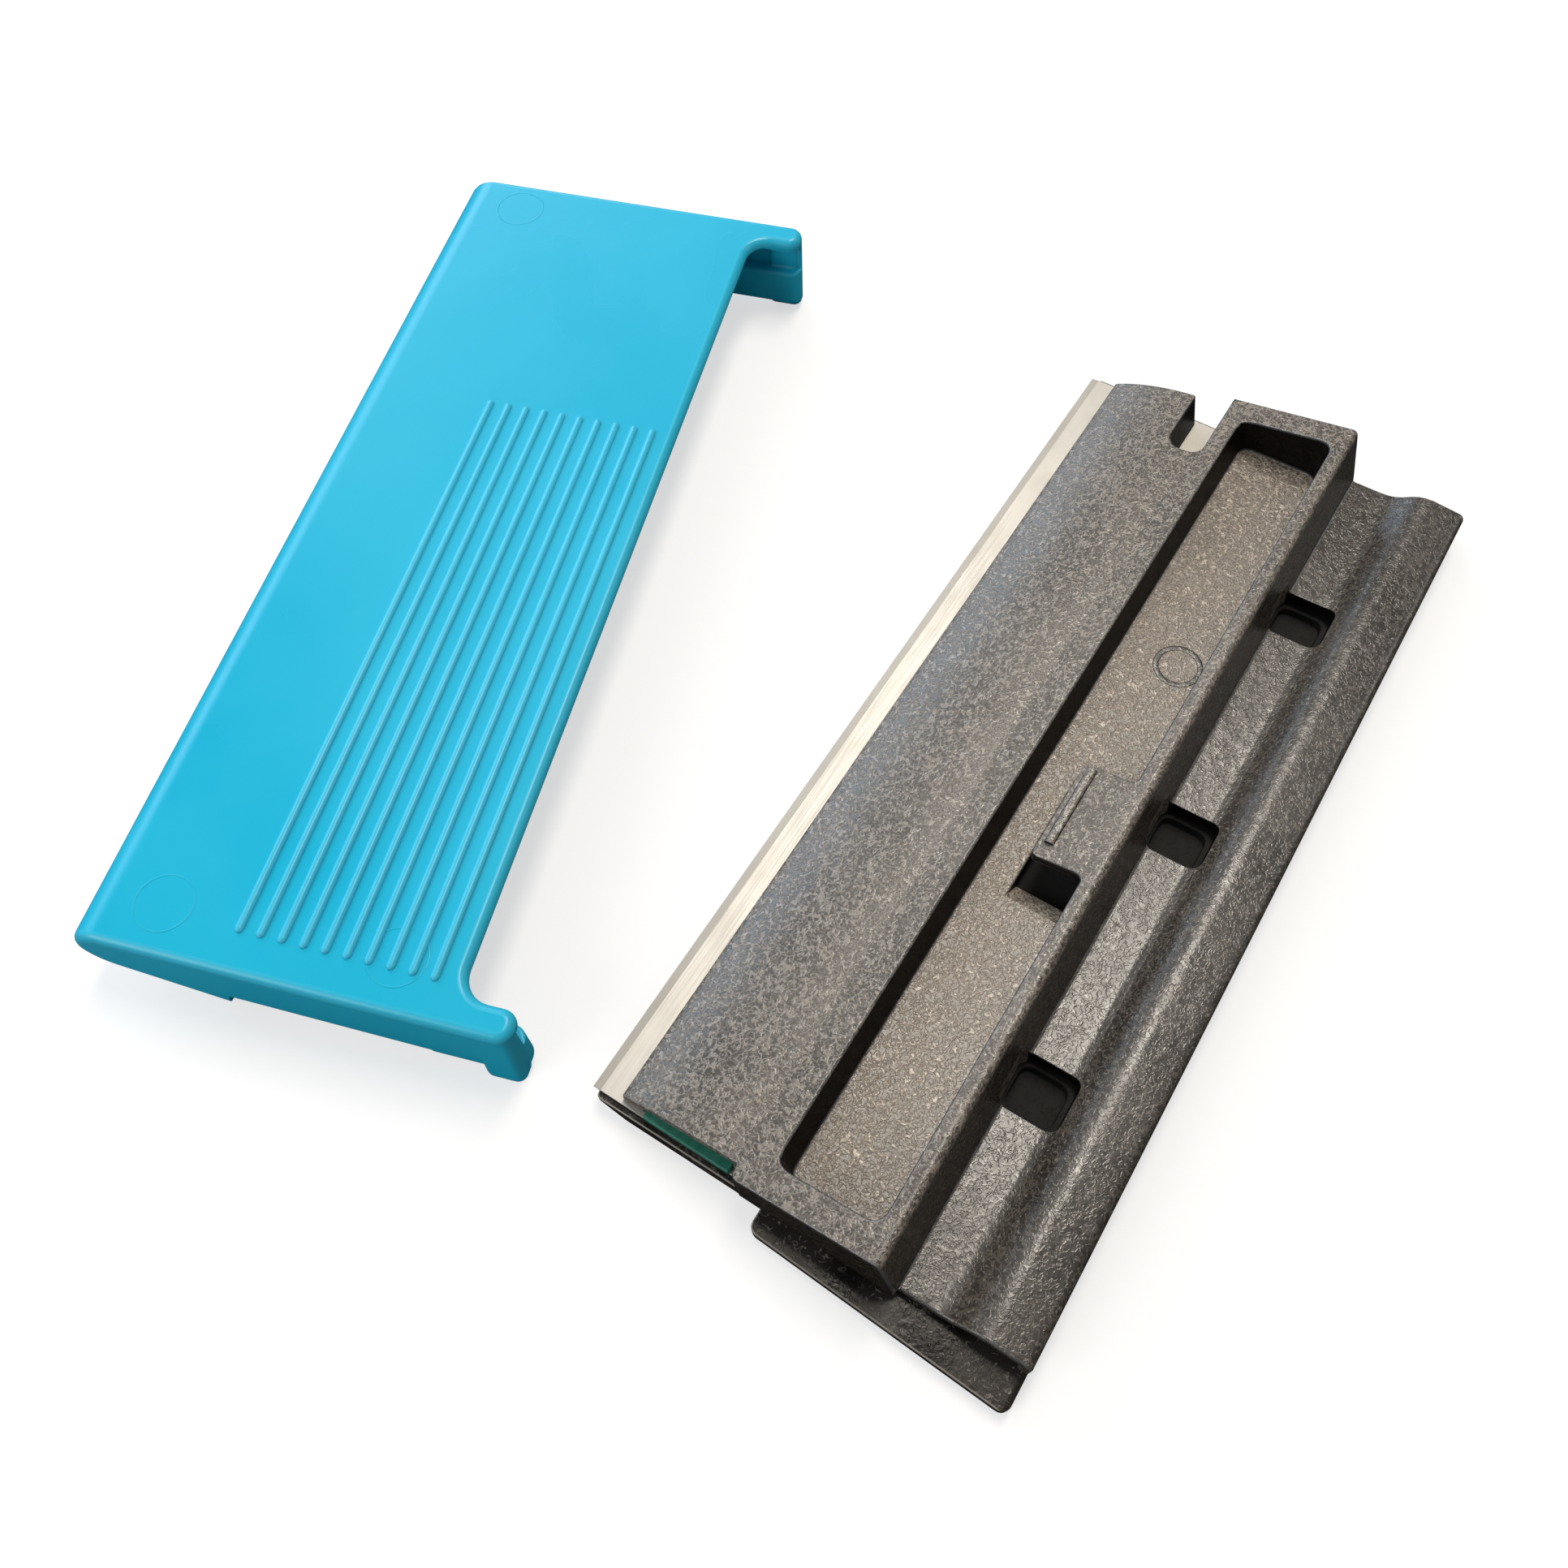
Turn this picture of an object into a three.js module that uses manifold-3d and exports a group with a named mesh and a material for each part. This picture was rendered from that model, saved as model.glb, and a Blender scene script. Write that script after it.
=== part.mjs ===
// A window cleaner's blade scraper with its blade guard taken off and laid beside it.
// Millimetres, +Z up. The scraper lies on its back plate with its pocketed side up.
// X runs along the blade and +Y from the blade's edge to the grip. The origin is the middle of the underside.

import * as THREE from "three";
import { mergeVertices } from "three/addons/utils/BufferGeometryUtils.js";
import Module from "manifold-3d";

// Fits
const mouldingGap = 0.3; // between the body, the back plate and the keeper
const bladeClearance = 0.15; // over and under the blade in its slot
const guardClearance = 0.2; // between the guard's end walls and the frame's ends

// Blade
const bladeLength = 150;
const bladeWidth = 24;
const bladeThickness = 0.5;
const bladeBevel = 1.2; // depth of the ground edge
const bladeEdgeThickness = 0.1;
const bladeReach = 4.5; // steel showing in front of the cover

// Back plate
const plateThickness = 2.4;
const jawHeight = 3.6; // top of the jaw that carries the blade
const jawSetback = 0.9; // jaw's front edge behind the blade's edge
const jawEdge = 0.8; // thickness of the jaw's front edge
const jawRamp = 4.5; // depth of the slope under the jaw's front edge
const jawOverhang = 0.9; // jaw past each end of the blade
const flangeSetback = 4.2; // flanges start this far behind the frame's front
const flangeNear = 3.8; // flange past the frame at the near end, on average
const flangeSlant = 1.6; // the near flange reaches further out at its back by this much
const flangeFar = 1.6; // flange past the frame at the far end
const flangeCorner = 1.6;
const plateEdgeRadius = 0.9;
const pegRadius = 1;
const pegHeight = 4;
const pegSpacing = 10;

// Front cover of the body
const coverSetback = 0.6; // cover's ends inside the blade's ends
const coverLip = 1.5; // thickness of the cover's front edge over the blade
const coverShoulderDepth = 7.7; // where the curve's two tangents meet, behind the front edge
const coverShoulderRise = 5.9; // and above the blade slot
const coverWall = 1.6;

// Pocketed frame of the body
const frameOverhang = 2; // frame's ends past the cover's ends
const frameLap = 0.7; // frame's front edge over the blade's back edge
const frameFrontRise = 6.4; // above the blade slot
const frameBackRise = 10.3;
const frameDraft = 2.7; // the back wall leans out by this much
const frameCorner = 1.2;
const rimFront = 4;
const rimBack = 2.4;
const rimEnd = 4.4;
const pocketWidth = 15.2;
const pocketFloorRise = 1.6; // above the blade slot
const pocketFloorThickness = 1.6;
const pocketCorner = 2.4;
const pocketDraft = 1.7; // the pocket's front wall leans in by this much at the floor

// Spring tab over the pocket, with the opening under it
const tabStart = 1;
const tabLength = 16.8;
const tabReach = 7.7;
const tabThickness = 1.8;
const tabCorner = 0.8;
const tabFillet = 1.5; // where the tab meets the rim
const tabRibHeight = 0.7;
const tabRibWidth = 1.4;
const tabRibInset = 0.7;
const tabRibShortfall = 2.4;
const tabOpeningSide = 0.6;
const tabOpeningPast = 1.6;
const tabOpeningRamp = 3;

// Notch at the far end, through which the blade's back edge is pushed
const notchWidth = 5.9;
const notchLap = 1.1; // into the frame's front wall
const notchLength = 14.4; // from the frame's end
const notchDraft = 1.6; // the notch's front wall leans in by this much at the blade

// Trough and wave-shaped grip
const gripDepth = 18.4; // from the foot of the frame's back wall
const gripSetback = 0.8; // grip's ends inside the frame's ends
const gripWall = 1.6;
const gripUnderGap = 1; // open space over the back plate
const troughDepth = 5; // level part beside the frame
const crestRise = 2.8;
const crestSetback = 5.6; // crest in front of the grip's back edge
const gripBackDrop = 0.4; // back edge below the crest
const gripBackRadius = 1.5;

// Holes through the trough, each with a recess under it in the back plate
const holeCount = 3;
const holePitch = 44.4;
const holeLength = 8.5;
const holeDepth = 8.9;
const holeLap = 1; // into the foot of the frame's back wall
const holeCorner = 1.8;
const holeDraft = 0.6; // each side leans in by this much through the wall
const recessInset = 0.9; // recess inside the hole's rim
const recessDepth = 1.4;

// Blade keeper
const keeperSetback = 3.9; // behind the cover's front edge
const keeperDepth = 13.6;
const keeperThickness = 1.4;
const keeperOverhang = 0.8; // past the cover's near end
const mouthDepth = 8; // hollow over the keeper's end, under the cover's near end

// Blade guard
const guardHeight = 15.5;
const guardWall = 1.6;
const guardPlateDepth = 56.2;
const guardLegReach = 8.6; // legs past the plate's edge
const guardNoseRadius = 5.5;
const guardLipReach = 19.5;
const guardLipRise = 3.8; // the end walls' lower edge just behind the lip
const guardLipSlant = 1.2;
const guardWallRise = 2.5; // the end walls' lower edge at the legs
const guardLegRise = 2; // the legs' lower edge
const guardLegLength = 14;
const guardLegThickness = 4.8;
const guardLegSlant = 3.6; // the inner corner of a leg's tip is cut back by this much
const guardLegRadius = 1.8;
const guardFootLength = 6; // the part of a leg that stands on the table
const guardFootThickness = 3;
const guardFootFlare = 0.8; // the foot leans out by this much
const guardGrooveBelow = 2; // from the guard's top to the groove in each leg's inner face
const guardGrooveHeight = 5;
const guardRootFillet = 4.5;
const guardCorner = 3;
const ribCount = 10;
const ribPitch = 3.14;
const ribEdgeMargin = 3.8; // from the plate's edge to the nearest rib
const ribHeight = 0.5;
const ribWidth = 1.3;
const ribCrest = 0.6;
const ribNearMargin = 5.8; // from the guard's near end
const ribFarMargin = 52.5;

// Where the guard lies: the tip of its near leg, and its turn
const guardApart = 9.2; // in front of the blade's edge
const guardTipPast = 3.3; // past the blade's near end
const guardTurn = 17.9; // degrees

// Levels above the table, worked out from the sizes above
const bodySeat = plateThickness + mouldingGap;
const bladeBottom = jawHeight + bladeClearance;
const bladeTop = bladeBottom + bladeThickness;
const slotTop = bladeTop + bladeClearance;
const pocketFloor = slotTop + pocketFloorRise;
const troughTop = plateThickness + gripUnderGap + gripWall;
const crestTop = troughTop + crestRise;

// Places behind the blade's edge
const frameFront = bladeWidth - frameLap;
const pocketFront = frameFront + rimFront;
const pocketBack = pocketFront + pocketWidth;
const frameBack = pocketBack + rimBack;
const frameFoot = frameBack + frameDraft;
const gripBack = frameFoot + gripDepth;
const notchBack = frameFront + notchLap;
const keeperFront = bladeReach + keeperSetback;
const keeperBack = keeperFront + keeperDepth;

// Half lengths, and places along the blade
const bladeHalf = bladeLength / 2;
const coverHalf = bladeHalf - coverSetback;
const frameHalf = coverHalf + frameOverhang;
const gripHalf = frameHalf - gripSetback;
const pocketHalf = frameHalf - rimEnd;
const notchBottom = notchLength - frameHalf;
const guardInner = frameHalf + guardClearance;
const guardHalf = guardInner + guardWall;
const guardDepth = guardPlateDepth + guardLegReach;
const guardLegFront = guardDepth - guardLegLength;
const guardLegInner = guardHalf - guardLegThickness;
const guardGrooveInner = gripHalf + guardClearance; // the groove takes the grip's end

// Cutters run past the faces that they cut by this much, and joined solids sink into each other by it
const past = 1;
const tall = slotTop + frameBackRise + past;
const arcSegments = 8;
const noseSegments = 20;

const wasm = await Module();
wasm.setup();

const alongX = [new THREE.Vector3(0, 1, 0), new THREE.Vector3(0, 0, 1), new THREE.Vector3(1, 0, 0)];
const alongY = [new THREE.Vector3(0, 0, 1), new THREE.Vector3(1, 0, 0), new THREE.Vector3(0, 1, 0)];
const alongZ = [new THREE.Vector3(1, 0, 0), new THREE.Vector3(0, 1, 0), new THREE.Vector3(0, 0, 1)];

// A closed solid from a flat shape, drawn from one place to another along an axis.
// The shape's own axes are Y and Z along X, Z and X along Y, and X and Y along Z.
function prism(shape, axes, from, to, curveSegments = arcSegments) {
  const geometry = new THREE.ExtrudeGeometry(shape, { depth: to - from, bevelEnabled: false, curveSegments });
  geometry.translate(0, 0, from);
  geometry.applyMatrix4(new THREE.Matrix4().makeBasis(...axes));
  return solidOf(geometry);
}

function solidOf(geometry) {
  const bare = geometry.clone();
  bare.deleteAttribute("normal");
  bare.deleteAttribute("uv");
  const merged = mergeVertices(bare, 1e-4);
  const vertProperties = merged.getAttribute("position").array;
  const triVerts = new Uint32Array(merged.index.array);
  return new wasm.Manifold(new wasm.Mesh({ numProp: 3, vertProperties, triVerts }));
}

function meshOf(name, solid, look) {
  const { vertProperties, triVerts } = solid.getMesh();
  const geometry = new THREE.BufferGeometry();
  geometry.setAttribute("position", new THREE.BufferAttribute(vertProperties, 3));
  geometry.setIndex(new THREE.BufferAttribute(triVerts, 1));
  geometry.computeVertexNormals();
  const mesh = new THREE.Mesh(geometry, new THREE.MeshStandardMaterial(look));
  mesh.name = name;
  return mesh;
}

// A shape from corners, each with an optional radius. A radius is limited by the sides that it rounds.
function outline(corners) {
  const points = corners.map(([x, y]) => new THREE.Vector2(x, y));
  const shape = new THREE.Shape();
  corners.forEach(([x, y, radius = 0], i) => {
    const corner = points[i];
    const before = points.at(i - 1).clone().sub(corner);
    const after = points[(i + 1) % points.length].clone().sub(corner);
    const half = Math.abs(before.angleTo(after)) / 2;
    const room = Math.min(before.length(), after.length()) * 0.49;
    const reach = Math.min(radius / Math.tan(half), room);
    const start = corner.clone().addScaledVector(before.normalize(), reach);
    const end = corner.clone().addScaledVector(after.normalize(), reach);
    if (i === 0) shape.moveTo(start.x, start.y);
    else shape.lineTo(start.x, start.y);
    if (reach > 0) shape.quadraticCurveTo(x, y, end.x, end.y);
  });
  shape.closePath();
  return shape;
}

function rectangle(left, bottom, right, top, radius = 0) {
  return outline([
    [left, bottom, radius],
    [right, bottom, radius],
    [right, top, radius],
    [left, top, radius],
  ]);
}

// Height of the frame's sloping top.
function frameTop(depth) {
  const slope = (frameBackRise - frameFrontRise) / (frameBack - frameFront);
  return slotTop + frameFrontRise + slope * (depth - frameFront);
}

// The front cover's crown: a curve from its front edge to the frame's front edge.
const coverCrown = new THREE.QuadraticBezierCurve(
  new THREE.Vector2(bladeReach, slotTop + coverLip),
  new THREE.Vector2(bladeReach + coverShoulderDepth, slotTop + coverShoulderRise),
  new THREE.Vector2(frameFront, frameTop(frameFront)),
);

// Height of the cover's crown, from the curve's quadratic in the depth.
function coverTop(depth) {
  const { v0, v1, v2 } = coverCrown;
  const a = v0.x - 2 * v1.x + v2.x;
  const b = v1.x - v0.x;
  const c = v0.x - depth;
  const t = -c / (b + Math.sqrt(b * b - a * c));
  return coverCrown.getPoint(t).y;
}

// The keeper is a flat strip on the blade, and its slot in the cover is larger by the gap.
function keeperSection(gap) {
  const bottom = gap > 0 ? slotTop - past : slotTop;
  return rectangle(keeperFront - gap, bottom, keeperBack + gap, slotTop + keeperThickness + gap);
}

// The hollow that opens over the keeper's end, one wall under the crown.
function mouthSection() {
  return outline([
    [keeperFront - mouldingGap, slotTop - past],
    [keeperBack + mouldingGap, slotTop - past],
    [keeperBack + mouldingGap, coverTop(keeperBack) - coverWall],
    [keeperFront - mouldingGap, coverTop(keeperFront) - coverWall],
  ]);
}

function bladeSolid() {
  const edge = (bladeThickness - bladeEdgeThickness) / 2;
  const section = outline([
    [0, bladeBottom + edge],
    [bladeBevel, bladeBottom],
    [bladeWidth, bladeBottom],
    [bladeWidth, bladeTop],
    [bladeBevel, bladeTop],
    [0, bladeTop - edge],
  ]);
  return prism(section, alongX, -bladeHalf, bladeHalf);
}

function keeperSolid() {
  const far = notchBottom + coverWall + mouldingGap;
  return prism(keeperSection(0), alongX, far, coverHalf + keeperOverhang);
}

// Plan of one hole beside the frame's back wall, smaller by an inset.
function holePlan(index, inset) {
  const middle = (index - (holeCount - 1) / 2) * holePitch;
  const half = holeLength / 2 - inset;
  const front = frameFoot - holeLap + inset;
  const back = frameFoot - holeLap + holeDepth - inset;
  return rectangle(middle - half, front, middle + half, back, holeCorner);
}

// A hole is straight above the trough and leans in through the wall below it.
function holes() {
  const cutters = [];
  for (let i = 0; i < holeCount; i++) {
    const upper = prism(holePlan(i, 0), alongZ, troughTop, tall);
    const lower = prism(holePlan(i, holeDraft), alongZ, bodySeat - past, troughTop - gripWall);
    cutters.push(wasm.Manifold.hull([upper, lower]));
  }
  return cutters;
}

function recesses() {
  const floor = plateThickness - recessDepth;
  const cutters = [];
  for (let i = 0; i < holeCount; i++) cutters.push(prism(holePlan(i, recessInset), alongZ, floor, tall));
  return cutters;
}

// Pegs stand on the back plate inside the frame's end walls, and their sockets are wider by the gap.
function pegs(gap) {
  const middle = (pocketFront + pocketBack) / 2;
  const solids = [];
  for (const end of [-1, 1]) {
    for (const side of [-1, 1]) {
      const height = pegHeight + past + gap;
      const peg = new THREE.CylinderGeometry(pegRadius + gap, pegRadius + gap, height, 2 * arcSegments);
      peg.rotateX(Math.PI / 2);
      peg.translate(
        end * (frameHalf - rimEnd / 2),
        middle + (side * pegSpacing) / 2,
        plateThickness - past + height / 2,
      );
      solids.push(solidOf(peg));
    }
  }
  return solids;
}

function backPlateSolid() {
  const flangeFront = frameFront + flangeSetback;
  const section = outline([
    [jawSetback, jawHeight - jawEdge],
    [jawSetback + jawRamp, 0],
    [gripBack, 0, plateEdgeRadius],
    [gripBack, plateThickness, plateEdgeRadius],
    [bladeWidth, plateThickness],
    [bladeWidth, jawHeight],
    [jawSetback, jawHeight],
  ]);
  const jawHalf = bladeHalf + jawOverhang;
  const near = frameHalf + flangeNear;
  const far = -frameHalf - flangeFar;
  const plan = outline([
    [-jawHalf, jawSetback, plateEdgeRadius],
    [jawHalf, jawSetback, plateEdgeRadius],
    [jawHalf, flangeFront],
    [near - flangeSlant / 2, flangeFront, flangeCorner],
    [near + flangeSlant / 2, gripBack, flangeCorner],
    [far, gripBack, flangeCorner],
    [far, flangeFront, flangeCorner],
    [-jawHalf, flangeFront],
  ]);
  let solid = prism(section, alongX, far, near + flangeSlant);
  solid = solid.intersect(prism(plan, alongZ, -past, tall));
  for (const recess of recesses()) solid = solid.subtract(recess);
  for (const peg of pegs(0)) solid = solid.add(peg);
  return solid;
}

function coverSolid() {
  const inside = frameFront + past;
  const section = new THREE.Shape();
  section.moveTo(bladeReach, slotTop);
  section.lineTo(inside, slotTop);
  section.lineTo(inside, frameTop(inside));
  section.lineTo(coverCrown.v2.x, coverCrown.v2.y);
  section.quadraticCurveTo(coverCrown.v1.x, coverCrown.v1.y, coverCrown.v0.x, coverCrown.v0.y);
  section.closePath();
  return prism(section, alongX, -coverHalf, coverHalf, noseSegments);
}

function frameSolid() {
  const step = bladeWidth + mouldingGap;
  const section = outline([
    [frameFront, slotTop],
    [step, slotTop],
    [step, bodySeat],
    [frameFoot, bodySeat],
    [frameFoot, troughTop],
    [frameBack, frameTop(frameBack), frameCorner],
    [frameFront, frameTop(frameFront)],
  ]);
  const plan = rectangle(-frameHalf, frameFront, frameHalf, frameFoot + past, frameCorner);
  const pocket = rectangle(-pocketHalf, pocketFront, pocketHalf, pocketBack, pocketCorner);
  const floor = rectangle(-pocketHalf, pocketFront + pocketDraft, pocketHalf, pocketBack, pocketCorner);
  const lower = prism(floor, alongZ, pocketFloor, pocketFloor + past / 10);
  const upper = prism(pocket, alongZ, frameTop(pocketFront), tall);
  const ceiling = pocketFloor - pocketFloorThickness;
  let solid = prism(section, alongX, -frameHalf, frameHalf);
  solid = solid.intersect(prism(plan, alongZ, -past, tall));
  solid = solid.subtract(wasm.Manifold.hull([lower, upper]));
  return solid.subtract(prism(pocket, alongZ, bodySeat - past, ceiling));
}

// The wave's upper line, and its lower line one wall below it.
function waveLine(shape, drop, back, reverse) {
  const trough = frameFoot + troughDepth;
  const crest = gripBack - crestSetback;
  const bend = (crest - trough) / 2;
  const low = troughTop - drop;
  const high = crestTop - drop;
  if (reverse) {
    shape.lineTo(back, high - gripBackDrop);
    shape.lineTo(crest, high);
    shape.bezierCurveTo(crest - bend, high, trough + bend, low, trough, low);
    return;
  }
  shape.lineTo(trough, low);
  shape.bezierCurveTo(trough + bend, low, crest - bend, high, crest, high);
  shape.lineTo(back - gripBackRadius, high - gripBackDrop);
  shape.quadraticCurveTo(back, high - gripBackDrop, back, high - gripBackDrop - gripBackRadius);
}

function gripSolid() {
  const inside = frameFoot - past;
  const section = new THREE.Shape();
  section.moveTo(inside, troughTop - gripWall);
  section.lineTo(inside, troughTop);
  waveLine(section, 0, gripBack, false);
  section.lineTo(gripBack, bodySeat);
  section.lineTo(gripBack - gripWall, bodySeat);
  waveLine(section, gripWall, gripBack - gripWall, true);
  section.closePath();
  return prism(section, alongX, -gripHalf, gripHalf);
}

function tabSolid() {
  const front = pocketBack - tabReach;
  const end = tabStart + tabLength;
  const root = pocketBack + past;
  const ribFront = front + tabRibInset;
  const ribBack = ribFront + tabRibWidth;
  const ribTop = frameTop(ribFront) + tabRibHeight;
  const ribRoot = frameTop(ribFront) - tabThickness / 2;
  const slab = outline([
    [front, frameTop(front) - tabThickness],
    [root, frameTop(root) - tabThickness],
    [root, frameTop(root)],
    [front, frameTop(front)],
  ]);
  const rib = outline([
    [ribFront, ribRoot],
    [ribBack, ribRoot],
    [ribBack, ribTop, tabRibWidth / 3],
    [ribFront, ribTop, tabRibWidth / 3],
  ]);
  const plan = outline([
    [tabStart, front, tabCorner],
    [end, front, tabCorner],
    [end, pocketBack + past / 10, tabFillet],
    [end + tabLength, pocketBack + past / 10],
    [end + tabLength, root + past],
    [tabStart - tabLength, root + past],
    [tabStart - tabLength, pocketBack + past / 10],
    [tabStart, pocketBack + past / 10, tabFillet],
  ]);
  const slabs = prism(slab, alongX, tabStart - tabFillet * 2, end + tabFillet * 2);
  const plate = slabs.intersect(prism(plan, alongZ, 0, tall));
  return plate.add(prism(rib, alongX, tabStart + tabRibInset, end - tabRibShortfall));
}

// The opening in the pocket's floor under the tab, with one edge sloping down into it.
function tabOpening() {
  const front = pocketBack - tabReach - tabOpeningSide;
  const far = tabStart - tabOpeningSide;
  const near = tabStart + tabLength + tabOpeningPast;
  const floor = pocketFloor - pocketFloorThickness;
  const slope = outline([
    [floor - past, far],
    [pocketFloor + past / 10, far],
    [pocketFloor + past / 10, near + tabOpeningRamp],
    [floor, near],
    [floor - past, near],
  ]);
  return prism(slope, alongY, front, pocketBack);
}

function bodySolid() {
  const notchFront = notchBack - notchWidth;
  const notchEnd = -frameHalf - notchWidth;
  const narrow = notchWidth - notchDraft;
  const mouth = rectangle(notchEnd, notchFront, notchBottom, notchBack, notchWidth / 2);
  const bottom = rectangle(notchEnd, notchFront + notchDraft, notchBottom, notchBack, narrow / 2);
  const notch = [
    prism(mouth, alongZ, coverTop(notchFront), tall),
    prism(bottom, alongZ, slotTop - past, slotTop),
  ];
  const keeperFar = notchBottom + coverWall;
  let solid = coverSolid().add(frameSolid()).add(gripSolid()).add(tabSolid());
  solid = solid.subtract(wasm.Manifold.hull(notch));
  solid = solid.subtract(prism(keeperSection(mouldingGap), alongX, keeperFar, coverHalf + past));
  solid = solid.subtract(prism(mouthSection(), alongX, coverHalf - mouthDepth, coverHalf + past));
  solid = solid.subtract(tabOpening());
  for (const hole of holes()) solid = solid.subtract(hole);
  for (const socket of pegs(mouldingGap)) solid = solid.subtract(socket);
  return solid;
}

// The guard's section: plate, rounded nose, and lip down to the table. Depth runs from the nose.
function guardSection(inset) {
  const radius = guardNoseRadius - inset;
  const centre = new THREE.Vector2(guardNoseRadius, guardHeight - guardNoseRadius);
  const tip = new THREE.Vector2(guardLipReach, 0).sub(centre);
  const swing = Math.acos(guardNoseRadius / tip.length());
  const tangent = tip.angle() - swing;
  const lipLength = Math.sqrt(tip.lengthSq() - guardNoseRadius ** 2);
  const way = new THREE.Vector2(-Math.sin(tangent), Math.cos(tangent));
  const touch = new THREE.Vector2(Math.cos(tangent), Math.sin(tangent)).multiplyScalar(radius).add(centre);
  const end = touch.clone().addScaledVector(way, lipLength + past * (inset > 0 ? 1 : 0));
  return { centre, radius, tangent, end, top: guardHeight - inset };
}

function guardProfile(back) {
  const outer = guardSection(0);
  const inner = guardSection(guardWall);
  const up = Math.PI / 2;
  const shape = new THREE.Shape();
  shape.moveTo(back, outer.top);
  shape.lineTo(outer.centre.x, outer.top);
  shape.absarc(outer.centre.x, outer.centre.y, outer.radius, up, outer.tangent, false);
  shape.lineTo(outer.end.x, outer.end.y);
  shape.lineTo(inner.end.x, inner.end.y);
  shape.absarc(inner.centre.x, inner.centre.y, inner.radius, inner.tangent, up, true);
  shape.lineTo(back, inner.top);
  shape.closePath();
  return shape;
}

// An end wall, closing the nose down to the lip and running back into the leg.
function guardEndProfile() {
  const outer = guardSection(0);
  const back = guardLegFront + past;
  const shape = new THREE.Shape();
  shape.moveTo(back, outer.top);
  shape.lineTo(outer.centre.x, outer.top);
  shape.absarc(outer.centre.x, outer.centre.y, outer.radius, Math.PI / 2, outer.tangent, false);
  shape.lineTo(outer.end.x, outer.end.y);
  shape.lineTo(guardLipReach + guardLipSlant, guardLipRise);
  shape.lineTo(back, guardWallRise);
  shape.closePath();
  return shape;
}

// The foot under a leg's tip: it comes out of the leg and leans out towards the table.
function guardFoot(end) {
  const back = guardDepth - guardFootFlare / 2;
  const inner = guardHalf - guardFootThickness;
  const slice = (lean, level) => {
    const outer = guardHalf + lean;
    const plan = rectangle(end * inner, back - guardFootLength, end * outer, back, guardFootThickness / 3);
    return prism(plan, alongZ, level, level + guardFootFlare);
  };
  const upper = slice(-guardFootFlare / 2, guardHeight - guardGrooveBelow);
  return wasm.Manifold.hull([slice(guardFootFlare, 0), upper]);
}

// A leg with a rounded tip and a groove along its inner face, on the side that end gives.
function guardLeg(end) {
  const plan = outline([
    [end * guardHalf, guardLegFront],
    [end * guardHalf, guardDepth, guardLegRadius],
    [end * (guardHalf - guardLegThickness / 2), guardDepth, guardLegRadius],
    [end * guardLegInner, guardDepth - guardLegSlant, guardLegThickness],
    [end * guardLegInner, guardLegFront],
  ]);
  const top = guardHeight - guardGrooveBelow;
  const groove = outline([
    [top - guardGrooveHeight, end * (guardLegInner - past)],
    [top - guardGrooveHeight, end * guardGrooveInner],
    [top, end * guardGrooveInner],
    [top, end * (guardLegInner - past)],
  ]);
  const leg = prism(plan, alongZ, guardLegRise, guardHeight).add(guardFoot(end));
  return leg.subtract(prism(groove, alongY, guardLegFront - past, guardDepth + past));
}

// The filleted root between the plate's edge and a leg, on the side that end gives.
function guardRoot(end) {
  const wall = guardLegInner + guardWall / 2;
  const edge = guardLegInner - guardRootFillet;
  const back = guardPlateDepth + guardRootFillet;
  const foot = guardPlateDepth - past / 10;
  const shape = new THREE.Shape();
  shape.moveTo(end * wall, guardPlateDepth - past);
  shape.lineTo(end * wall, back);
  shape.lineTo(end * guardLegInner, back);
  shape.quadraticCurveTo(end * guardLegInner, foot, end * edge, foot);
  shape.lineTo(end * edge, guardPlateDepth - past);
  shape.closePath();
  return prism(shape, alongZ, guardHeight - guardWall, guardHeight);
}

function ribSolid(index) {
  const middle = guardPlateDepth - ribEdgeMargin - index * ribPitch;
  const base = guardHeight - guardWall / 2;
  const section = outline([
    [middle - ribWidth / 2, base],
    [middle + ribWidth / 2, base],
    [middle + ribWidth / 2, guardHeight],
    [middle + ribCrest / 2, guardHeight + ribHeight, ribHeight / 2],
    [middle - ribCrest / 2, guardHeight + ribHeight, ribHeight / 2],
    [middle - ribWidth / 2, guardHeight],
  ]);
  return prism(section, alongX, ribFarMargin - guardHalf, guardHalf - ribNearMargin, 2);
}

function guardSolid() {
  const endProfile = guardEndProfile();
  let solid = prism(guardProfile(guardPlateDepth), alongX, -guardHalf, guardHalf, noseSegments);
  solid = solid.add(prism(endProfile, alongX, -guardHalf, -guardInner, noseSegments));
  solid = solid.add(prism(endProfile, alongX, guardInner, guardHalf, noseSegments));
  const plan = outline([
    [-guardHalf, 0, guardCorner],
    [guardHalf, 0, guardCorner],
    [guardHalf, guardDepth + past],
    [-guardHalf, guardDepth + past],
  ]);
  solid = solid.intersect(prism(plan, alongZ, 0, guardHeight));
  for (const end of [-1, 1]) solid = solid.add(guardLeg(end)).add(guardRoot(end));
  for (let i = 0; i < ribCount; i++) solid = solid.add(ribSolid(i));
  return solid;
}

const darkNylon = { color: 0x5a5550, roughness: 0.55, metalness: 0 };
const glossNylon = { color: 0x2f2a26, roughness: 0.25, metalness: 0 };
const tealPlastic = { color: 0x2d7d69, roughness: 0.45, metalness: 0 };
const bladeSteel = { color: 0xe1ded4, roughness: 0.3, metalness: 0.9 };
const bluePlastic = { color: 0x3ebbde, roughness: 0.18, metalness: 0 };

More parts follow.
